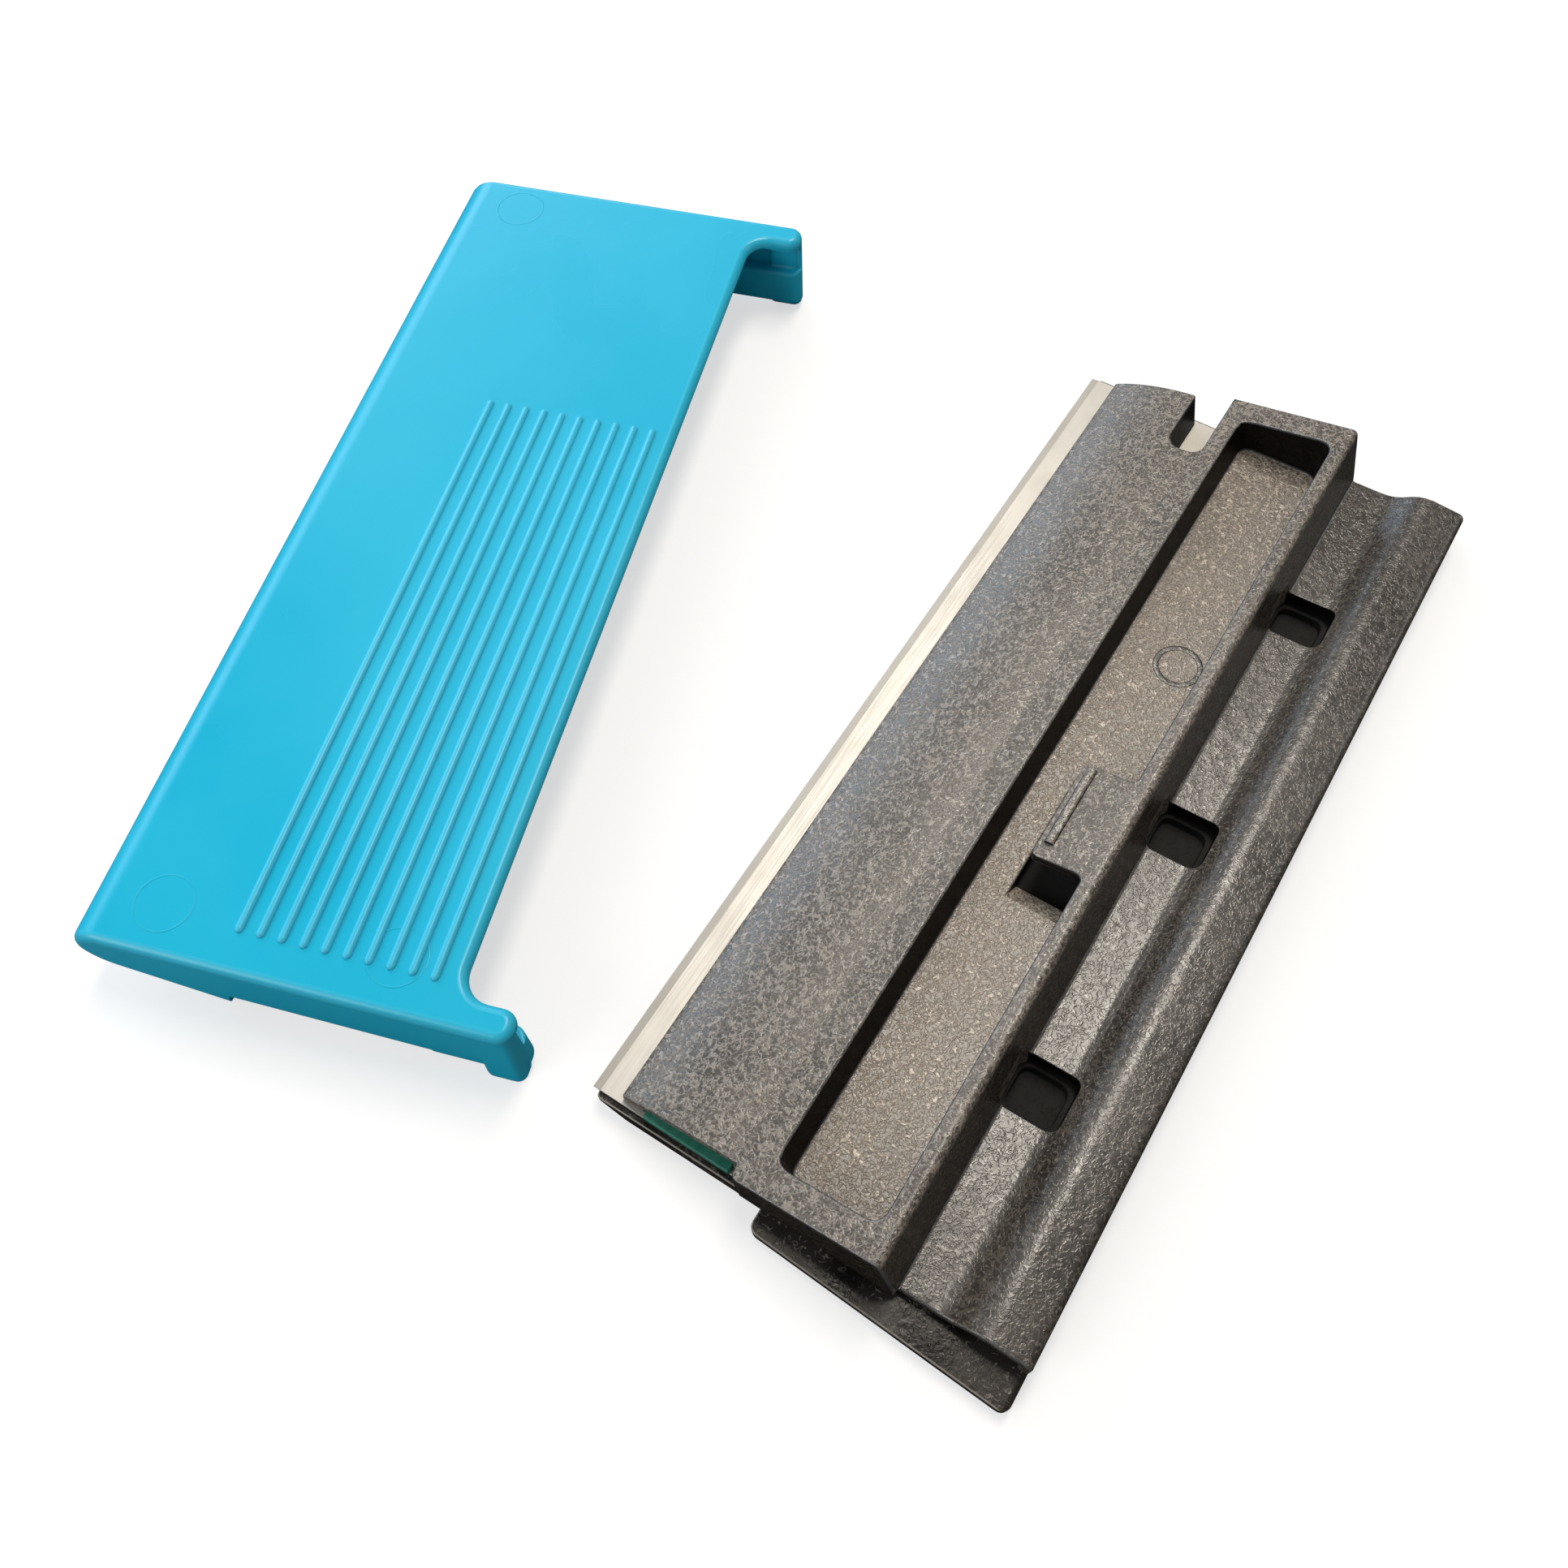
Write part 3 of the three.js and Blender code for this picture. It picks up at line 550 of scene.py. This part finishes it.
bm = welded(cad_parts["holder_body"].data)
edge_paint = bm.faces.layers.float["edge"]
soften(bm, sharp_edges(bm, wanted=lambda e: shows(e) and not tight(e)), BODY_ROUND)
soften(bm, sharp_edges(bm, 40, lambda e: shows(e) and tight(e) and still_sharp(e)), TIGHT_ROUND)
print("holder rounded:", len(bm.faces), "faces")

# %% Holder body, painting
FRAME_FRONT, FRAME_FOOT, POCKET_TOP = -9.7 * MM, 14.6 * MM, 7.0 * MM
HOLE_BACK, HOLE_HALF = 22.6 * MM, 4.6 * MM
NOTCH_END, NOTCH_FRONT = -63.5 * MM, -16.0 * MM
REAR_WALL, REAR_PAINTED_SHADE = 10.0 * MM, 0.4
END_WALL, END_PAINTED_SHADE = 74.0 * MM, 0.9
POCKET_COARSE, GRIP_COARSE, COVER_COARSE = 1.0, 0.12, 0.45
STEEP = 0.6
SIDEWAYS = 0.5


def coarseness(face):
    """How coarse the skin is, which also sets how much sheen is painted in: most on the pocket's floor, least
    on trough and grip.
    """
    middle = face.calc_center_median()
    if FRAME_FRONT < middle.y < FRAME_FOOT and middle.z < POCKET_TOP:
        return POCKET_COARSE
    return GRIP_COARSE if middle.y > FRAME_FOOT - 1 * MM else COVER_COARSE


def wall_painted_shade(face):
    """How much painted shade a face gets: 0 on faces that look up or lie outside, 1 on hidden walls, less on
    the frame's outer walls.
    """
    middle, normal = face.calc_center_median(), face.normal
    if abs(normal.z) >= STEEP:
        return 0.0
    if FRAME_FRONT < middle.y < FRAME_FOOT:
        if normal.y > SIDEWAYS and middle.y > REAR_WALL:
            return REAR_PAINTED_SHADE
        return END_PAINTED_SHADE if abs(normal.x) > SIDEWAYS and abs(middle.x) > END_WALL else 1.0
    in_hole = FRAME_FOOT - 1 * MM < middle.y < HOLE_BACK
    in_hole = in_hole and min(abs(middle.x - x * MM) for x in HOLES) < HOLE_HALF
    in_notch = middle.x < NOTCH_END and NOTCH_FRONT < middle.y < FRAME_FRONT and normal.y > 0
    return 1.0 if in_hole or in_notch else 0.0


coarse, wall = (bm.faces.layers.float[name] for name in ("coarse", "wall"))
bm.normal_update()
for face in bm.faces:
    face[coarse] = coarseness(face)
    face[wall] = wall_painted_shade(face)
holder = piece_from(bm, "holder_shell", FIBRE_NYLON)
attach(holder, "holder")
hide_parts("holder_body")

# %% [markdown]
# ## Back plate, blade and keeper
# The plate with its flanges, the blade and the keeper are simple solids. They take the same copy and
# rounding, with radii that suit them: small on the plate and the strip, a hair on the ground steel. The
# plate's back edge is round in the solid already and is left alone.

# %% Back plate
PLATE_ROUND = 0.20
PLATE_BACK = 31.5 * MM

bm = welded(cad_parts["back_plate"].data)
soften(bm, sharp_edges(bm, wanted=lambda e: min(v.co.y for v in e.verts) < PLATE_BACK), PLATE_ROUND)
plate = piece_from(bm, "plate_shell", GLOSS_NYLON)
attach(plate, "holder")
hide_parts("back_plate")

# %% Blade
BLADE_ROUND = 0.03
BLADE_THICK = 1.0 * MM
BEVEL_BACK = -31.8 * MM

bm = welded(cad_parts["blade"].data, weld=0.01)
soften(bm, sharp_edges(bm, wanted=lambda e: e.calc_length() > BLADE_THICK), BLADE_ROUND, segments=1)
bevel = bm.faces.layers.float["bevel"]
for face in bm.faces:
    face[bevel] = 1.0 if face.calc_center_median().y < BEVEL_BACK else 0.0
blade = piece_from(bm, "blade_sheet", BLADE_STEEL, smooth=8.0)
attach(blade, "blade")
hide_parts("blade")

# %% Keeper
KEEPER_ROUND = 0.2

bm = welded(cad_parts["blade_keeper"].data)
soften(bm, sharp_edges(bm), KEEPER_ROUND)
keeper = piece_from(bm, "keeper_strip", TEAL_PLASTIC)
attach(keeper, "holder")
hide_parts("blade_keeper")

# %% [markdown]
# ## Blade guard
# The guard is a thin shell with a rounded nose, two end walls and two legs that hook over the holder's
# ends. Its outer edges are rounded much more than its inner ones, so it is built in two steps. First
# comes the outer block: the side view extruded along the guard, cut by the plan view, with its upper
# edges rounded. Then the inside is carved out with plain cutters, which leaves a thin wall all round.

# %% Guard sizes
GUARD_HEIGHT = 15.5
GUARD_WALL = 1.6
GUARD_PLATE = 56.2
GUARD_DEPTH = 64.8
GUARD_HALF = 78.2
GUARD_INNER = 76.6
NOSE_RADIUS = 5.5
LIP_REACH = 19.5
LIP_RISE = 3.8
LIP_SLANT = 1.2
WALL_RISE = 2.5
LEG_RISE = 2.0
LEG_FRONT = 50.8
LEG_STEP = 0.3
LEG_INNER = 73.4
LEG_ROUND = 2.2
FOOT_INNER = 75.2
FOOT_FLARE = 0.8
FOOT_LENGTH = 6.0
FOOT_ROUND = 1.4
GROOVE_LOW, GROOVE_HIGH, GROOVE_INNER = 8.5, 13.5, 75.8
ROOT_FILLET = 4.0
GUARD_SPOT = Vector((23.802, -127.899, 0)) * MM
GUARD_TURN = math.radians(17.9)
GUARD_PLACE = Matrix.Translation(GUARD_SPOT) @ Matrix.Rotation(GUARD_TURN, 4, "Z")
SPARE = 1.0
print("guard", 2 * GUARD_HALF, "mm long,", GUARD_DEPTH, "mm deep")


# %% Outlines and prisms
def arc(centre, radius, start, end, count):
    steps = [start + (end - start) * i / count for i in range(count + 1)]
    return [(centre[0] + radius * math.cos(a), centre[1] + radius * math.sin(a)) for a in steps]


def rounded(corners, count=8):
    """A polygon from (x, y, radius) corners, each rounded by an arc that touches both sides."""
    points = []
    for i, (x, y, radius) in enumerate(corners):
        if radius == 0:
            points.append((x, y))
            continue
        here = Vector((x, y))
        before = (Vector(corners[i - 1][:2]) - here).normalized()
        after = (Vector(corners[(i + 1) % len(corners)][:2]) - here).normalized()
        reach = radius / math.tan(before.angle(after) / 2)
        start, end = here + before * reach, here + after * reach
        centre = here + (before + after).normalized() * math.hypot(reach, radius)
        first, last = start - centre, end - centre
        sweep = first.angle(last)
        for step in range(count + 1):
            t = step / count
            spoke = first * math.sin((1 - t) * sweep) + last * math.sin(t * sweep)
            points.append(tuple(centre + spoke / math.sin(sweep)))
    return points


AXES = {
    "X": lambda p, at: (at, p[0], p[1]),
    "Y": lambda p, at: (p[1], at, p[0]),
    "Z": lambda p, at: (p[0], p[1], at),
}


def prism(points, axis, start, end):
    """A closed block from a polygon, drawn from start to end along an axis, as a loose object."""
    bm = bmesh.new()
    place = AXES[axis]
    rings = [[bm.verts.new(Vector(place(p, at)) * MM) for p in points] for at in (start, end)]
    bm.faces.new(rings[0])
    bm.faces.new(rings[1])
    for i in range(len(points)):
        j = (i + 1) % len(points)
        bm.faces.new((rings[0][i], rings[0][j], rings[1][j], rings[1][i]))
    return loose_block(bm)


def loose_block(bm):
    bmesh.ops.recalc_face_normals(bm, faces=bm.faces)
    mesh = bpy.data.meshes.new("block")
    bm.to_mesh(mesh)
    bm.free()
    block = bpy.data.objects.new("block", mesh)
    bpy.context.scene.collection.objects.link(block)
    return block


def cut(block, tool, operation):
    """Joins, cuts or meets two blocks, and uses the second one up."""
    step = block.modifiers.new("cut", "BOOLEAN")
    step.object = tool
    step.operation = operation
    step.solver = "MANIFOLD"
    bake_modifiers(block)
    old = tool.data
    bpy.data.objects.remove(tool)
    bpy.data.meshes.remove(old)
    return block


# %% Guard's outer block
def guard_side():
    """Side view: plate, rounded nose, lip down to the table, end wall and leg. Depth runs from the nose."""
    centre = Vector((NOSE_RADIUS, GUARD_HEIGHT - NOSE_RADIUS))
    tip = Vector((LIP_REACH, 0)) - centre
    touch = math.atan2(tip.y, tip.x) - math.acos(NOSE_RADIUS / tip.length)
    nose = arc(centre, NOSE_RADIUS, math.pi / 2, touch + 2 * math.pi, 24)
    lip = [(LIP_REACH, 0), (LIP_REACH + LIP_SLANT, LIP_RISE)]
    leg = [(LEG_FRONT, WALL_RISE), (LEG_FRONT + LEG_STEP, LEG_RISE), (GUARD_DEPTH + SPARE, LEG_RISE)]
    return [(GUARD_DEPTH + SPARE, GUARD_HEIGHT), *nose, *lip, *leg], centre, touch


def guard_plan():
    """Plan view: a plate with a leg at each end, rounded at its tip and at its root."""
    near = [
        (GUARD_HALF, 0, 0),
        (GUARD_HALF, GUARD_DEPTH, LEG_ROUND),
        (LEG_INNER, GUARD_DEPTH, LEG_ROUND),
        (LEG_INNER, GUARD_PLATE, ROOT_FILLET),
    ]
    return rounded(near + [(-x, y, radius) for x, y, radius in reversed(near)])


def foot_block(end):
    """The foot under a leg: it leans out towards the table, so it is the hull of a low and a high slice."""
    bm = bmesh.new()
    back = GUARD_DEPTH - FOOT_FLARE / 2
    for lean, level in ((FOOT_FLARE, 0), (-FOOT_FLARE / 2, GROOVE_HIGH)):
        inner, outer, front = FOOT_INNER, GUARD_HALF + lean, back - FOOT_LENGTH
        corners = ((inner, front), (outer, front), (outer, back), (inner, back))
        plan = rounded([(end * x, y, FOOT_ROUND) for x, y in corners])
        for height in (level, level + FOOT_FLARE):
            for x, y in plan:
                bm.verts.new(Vector((x, y, height)) * MM)
    bmesh.ops.convex_hull(bm, input=bm.verts)
    bmesh.ops.delete(bm, geom=[v for v in bm.verts if not v.link_faces], context="VERTS")
    return loose_block(bm)


side, nose_centre, touch = guard_side()
block = prism(side, "X", -GUARD_HALF - SPARE, GUARD_HALF + SPARE)
cut(block, prism(guard_plan(), "Z", -SPARE, GUARD_HEIGHT + SPARE), "INTERSECT")
print("outer block", len(block.data.polygons), "faces")

# %% Guard's outer edges
GUARD_ROUND = 1.3
CLOSE = 0.1


def top_edge(edge):
    """True on the outline of the guard's top."""
    return min(v.co.z for v in edge.verts) > (GUARD_HEIGHT - CLOSE) * MM


def nose_end(edge):
    """True on the outline of an end wall, from the nose to the lip."""
    first, last = (v.co / MM for v in edge.verts)
    level = abs(first.x - last.x) < CLOSE
    in_end = min(abs(first.x), abs(last.x)) > GUARD_HALF - CLOSE
    return level and in_end and max(first.y, last.y) < LIP_REACH + CLOSE


bm = welded(block.data, weld=0.05)
outer_edges = sharp_edges(bm, 35, lambda e: top_edge(e) or nose_end(e))
soften(bm, outer_edges, GUARD_ROUND, segments=4)
bm.to_mesh(block.data)
bm.free()
print("rounded block", len(block.data.polygons), "faces")

# %% Guard's inside
LIP_RUN = 30
LEDGE_END = 75.5
LEDGE_ROUND, INNER_ROUND = 0.5, 0.12


def ledge(edge):
    """True on the lower edges of the grooves, over which the holder's ends snap."""
    points = [v.co / MM for v in edge.verts]
    return all(abs(p.z - GROOVE_LOW) < CLOSE and abs(p.x) < LEDGE_END for p in points)


def inner_edge(edge):
    """True on sharp edges behind the nose, which the carving left."""
    return still_sharp(edge) and max(v.co.y for v in edge.verts) > NOSE_RADIUS * MM


inner_nose = arc(nose_centre, NOSE_RADIUS - GUARD_WALL, math.pi / 2, touch + 2 * math.pi, 24)
way = Vector((-math.sin(touch), math.cos(touch)))
lip_inside = Vector(inner_nose[-1]) + way * LIP_RUN
ceiling = GUARD_HEIGHT - GUARD_WALL
hollow = [(LEG_FRONT, ceiling), *inner_nose, tuple(lip_inside), (LEG_FRONT, lip_inside.y)]
cut(block, prism(hollow, "X", -GUARD_INNER, GUARD_INNER), "DIFFERENCE")
front, behind, below = LEG_FRONT - 10 * SPARE, GUARD_DEPTH + 5 * SPARE, -5 * SPARE
opening = [(front, below), (behind, below), (behind, ceiling), (front, ceiling)]
cut(block, prism(opening, "X", -LEG_INNER, LEG_INNER), "DIFFERENCE")
for end in (-1, 1):
    groove = [(GROOVE_LOW, end * (LEG_INNER - SPARE)), (GROOVE_HIGH, end * (LEG_INNER - SPARE))]
    groove += [(GROOVE_HIGH, end * GROOVE_INNER), (GROOVE_LOW, end * GROOVE_INNER)]
    cut(block, prism(groove, "Y", LEG_FRONT - SPARE, GUARD_DEPTH + SPARE), "DIFFERENCE")
    cut(block, foot_block(end), "UNION")
print("carved block", len(block.data.polygons), "faces")

bm = welded(block.data, weld=0.01)
edge_paint = bm.faces.layers.float["edge"]
soften(bm, sharp_edges(bm, 40, ledge), LEDGE_ROUND, segments=3)
soften(bm, sharp_edges(bm, 40, inner_edge), INNER_ROUND)
bmesh.ops.transform(bm, matrix=GUARD_PLACE, verts=bm.verts)
old = block.data
bpy.data.objects.remove(block)
bpy.data.meshes.remove(old)
guard = piece_from(bm, "guard_shell", BLUE_PLASTIC)
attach(guard, "guard")
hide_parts("blade_guard")

# %% [markdown]
# ## Ribs on the guard
# Ten thin ridges give the fingers a hold. They repeat at an even pitch, so Geometry Nodes make them: a
# line of points carries one rib each. The rib itself is a ball whose two halves are moved apart, which
# gives a bar with rounded ends and a rounded back from very few faces. Its lower half is sunk in the
# plate. The tree stores the value edge on the ribs, stronger than rounding paints it, so that the finish
# paints a pale highlight line on each ridge. Realize Instances turns the ten copies into one real mesh.


# %% Helpers for node trees
def new_tree(name, inputs):
    """A geometry tree with named inputs, and the sockets that hand these out."""
    tree = bpy.data.node_groups.new(name, "GeometryNodeTree")
    tree.interface.new_socket("Geometry", in_out="OUTPUT", socket_type="NodeSocketGeometry")
    for socket, kind in inputs.items():
        tree.interface.new_socket(socket, in_out="INPUT", socket_type="NodeSocket" + kind)
    return tree, tree.nodes.new("NodeGroupInput").outputs


def set_copies(tree, points, shape, material):
    """Ends a tree: one shape on each point, made real, shaded smooth and given its finish."""
    rows = add(tree, "GeometryNodeInstanceOnPoints", {"Points": points, "Instance": shape}).outputs[0]
    real = add(tree, "GeometryNodeRealizeInstances", {0: rows}).outputs[0]
    shaded = add(tree, "GeometryNodeSetShadeSmooth", {0: real}).outputs[0]
    coated = add(tree, "GeometryNodeSetMaterial", {"Geometry": shaded, "Material": material}).outputs[0]
    tree.links.new(coated, tree.nodes.new("NodeGroupOutput").inputs[0])


def grown(name, tree, values, place, carrier=None):
    """A plain mesh from a node tree: inputs set by identifier, result baked, then put in its place."""
    piece = bpy.data.objects.new(name, carrier or bpy.data.meshes.new(name))
    bpy.context.scene.collection.objects.link(piece)
    step = piece.modifiers.new("grow", "NODES")
    step.node_group = tree
    for socket in tree.interface.items_tree:
        if socket.in_out == "INPUT" and socket.name in values:
            step[socket.identifier] = values[socket.name]
    bake_modifiers(piece)
    piece.data.transform(place)
    print(name, len(piece.data.polygons), "faces")
    return piece


# %% Ribs on the guard
def rib_tree(material):
    sizes = {name: "Float" for name in ("Pitch", "Width", "Height", "Length", "Highlight")}
    tree, given = new_tree("finger_ribs", {"Count": "Int", "First": "Vector", **sizes})
    step = add(tree, "ShaderNodeCombineXYZ", {"Y": given["Pitch"]}).outputs[0]
    line_inputs = {"Count": given["Count"], "Start Location": given["First"], "Offset": step}
    line = add(tree, "GeometryNodeMeshLine", line_inputs).outputs[0]
    ball = add(tree, "GeometryNodeMeshUVSphere", {"Segments": 16, "Rings": 12, "Radius": 1.0}).outputs[0]
    quarter_turn = (0, math.pi / 2, 0)
    turned = add(tree, "GeometryNodeTransform", {"Geometry": ball, "Rotation": quarter_turn}).outputs[0]
    half_width = calc(tree, "MULTIPLY", given["Width"], 0.5)
    half_sizes = {"X": half_width, "Y": half_width, "Z": given["Height"]}
    size = add(tree, "ShaderNodeCombineXYZ", half_sizes).outputs[0]
    sized = add(tree, "GeometryNodeTransform", {"Geometry": turned, "Scale": size}).outputs[0]
    place = add(tree, "GeometryNodeInputPosition").outputs[0]
    across = add(tree, "ShaderNodeSeparateXYZ", {0: place}).outputs["X"]
    half_length = calc(tree, "SUBTRACT", calc(tree, "MULTIPLY", given["Length"], 0.5), half_width)
    shift = calc(tree, "MULTIPLY", calc(tree, "SIGN", calc(tree, "ADD", across, 1e-7)), half_length)
    apart = add(tree, "ShaderNodeCombineXYZ", {"X": shift}).outputs[0]
    rib = add(tree, "GeometryNodeSetPosition", {"Geometry": sized, "Offset": apart}).outputs[0]
    # The ribs carry the value edge, which paints a pale highlight line on them.
    highlight_paint = {"Geometry": rib, "Name": "edge", "Value": given["Highlight"]}
    highlighted = add(tree, "GeometryNodeStoreNamedAttribute", highlight_paint, data_type="FLOAT", domain="FACE").outputs[0]
    set_copies(tree, line, highlighted, material)
    return tree


RIBS = {
    "Count": 10,
    "Pitch": -3.14 * MM,
    "Width": 1.3 * MM,
    "Height": 0.55 * MM,
    "Length": 98.1 * MM,
    "Highlight": 2.0,
    "First": [23.35 * MM, 52.4 * MM, GUARD_HEIGHT * MM],
}
ribs = grown("guard_ribs", rib_tree(BLUE_PLASTIC), RIBS, GUARD_PLACE)
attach(ribs, "guard")

# %% [markdown]
# ## Ejector marks
# Pins push a moulding out of its mould and leave faint rings. Three lie on the guard and one on the
# pocket's floor. A node tree sets one thin ring on each point that it is given: a circle swept along a
# circle, flattened, and sunk so that only a hair's breadth of it stands out.


# %% Ejector marks
def ring_tree(material):
    sizes = {name: "Float" for name in ("Radius", "Width", "Height")}
    tree, given = new_tree("ejector_marks", {"Geometry": "Geometry", **sizes})
    path_inputs = {"Resolution": 64, "Radius": given["Radius"]}
    path = add(tree, "GeometryNodeCurvePrimitiveCircle", path_inputs).outputs[0]
    half_width = calc(tree, "MULTIPLY", given["Width"], 0.5)
    section_inputs = {"Resolution": 8, "Radius": half_width}
    section = add(tree, "GeometryNodeCurvePrimitiveCircle", section_inputs).outputs[0]
    swept = add(tree, "GeometryNodeCurveToMesh", {"Curve": path, "Profile Curve": section}).outputs[0]
    squash = calc(tree, "DIVIDE", given["Height"], half_width)
    flat = add(tree, "ShaderNodeCombineXYZ", {"X": 1.0, "Y": 1.0, "Z": squash}).outputs[0]
    ring = add(tree, "GeometryNodeTransform", {"Geometry": swept, "Scale": flat}).outputs[0]
    set_copies(tree, given["Geometry"], ring, material)
    return tree


def spots(name, places):
    """A mesh of loose points, given in millimetres."""
    mesh = bpy.data.meshes.new(name)
    mesh.from_pydata([Vector(place) * MM for place in places], [], [])
    return mesh


GUARD_PINS = (-71.6, 12.7), (70.8, 12.4), (70.4, 46.5)
GUARD_RING = {"Radius": 4.2 * MM, "Width": 0.3 * MM, "Height": 0.03 * MM}
POCKET_PIN = (-25.8, 5.5, 6.0)
POCKET_RING = {"Radius": 3.4 * MM, "Width": 0.9 * MM, "Height": 0.025 * MM}

guard_spots = spots("guard_spots", [(x, y, GUARD_HEIGHT) for x, y in GUARD_PINS])
marks = grown("guard_marks", ring_tree(BLUE_PLASTIC), GUARD_RING, GUARD_PLACE, guard_spots)
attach(marks, "guard")

pocket_spots = spots("pocket_spots", [POCKET_PIN])
mark = grown("pocket_mark", ring_tree(FIBRE_NYLON), POCKET_RING, Matrix.Identity(4), pocket_spots)
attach(mark, "holder")
